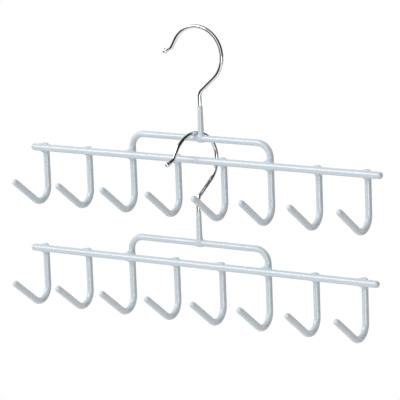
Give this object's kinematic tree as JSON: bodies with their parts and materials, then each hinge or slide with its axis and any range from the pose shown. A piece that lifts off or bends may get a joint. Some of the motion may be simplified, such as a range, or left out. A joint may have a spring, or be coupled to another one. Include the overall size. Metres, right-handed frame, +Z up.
{
  "type": "hat hanger",
  "caption": "Coated wire hat hanger in linked tiers: a bar with J-shaped arms behind it, a flat bow and a swivelling chrome hook, for hanging on a closet rail.",
  "frame": {"origin": "where the upper hook's crown rests on the top of a closet rail", "axes": "+X along the crossbars, -Y forward, where the prongs point, +Z up"},
  "size_m": [0.3469, 0.072, 0.248],
  "materials": {
    "coating": "smooth semi-gloss dip coating in pale ice blue over steel wire",
    "plating": "bright chrome plating on steel wire"
  },
  "bodies": {
    "upper_hook": {"upper_hook": "plating"},
    "upper_frame": {"upper_hook_sleeve": "coating", "upper_bow": "coating", "upper_crossbar": "coating", "upper_arm_1": "coating", "upper_arm_2": "coating", "upper_arm_4": "coating", "upper_arm_5": "coating", "upper_arm_7": "coating", "upper_arm_8": "coating"},
    "lower_hook": {"lower_hook": "plating"},
    "lower_frame": {"lower_hook_sleeve": "coating", "lower_bow": "coating", "lower_crossbar": "coating", "lower_arm_1": "coating", "lower_arm_2": "coating", "lower_arm_4": "coating", "lower_arm_5": "coating", "lower_arm_7": "coating", "lower_arm_8": "coating"}
  },
  "joints": [
    {"name": "upper_frame_swivel", "type": "hinge", "parent": "upper_hook", "child": "upper_frame", "pos_m": [0.00125, 0, -0.0646], "axis": [0, 0, 1], "continuous": true},
    {"name": "lower_hook_swing", "type": "hinge", "parent": "upper_frame", "child": "lower_hook", "pos_m": [-0.00395, 0, -0.0913], "axis": [1, 0, 0], "range_deg": [-25, 25]},
    {"name": "lower_frame_swivel", "type": "hinge", "parent": "lower_hook", "child": "lower_frame", "pos_m": [-0.00395, 0, -0.15291], "axis": [0, 0, 1], "continuous": true}
  ]
}
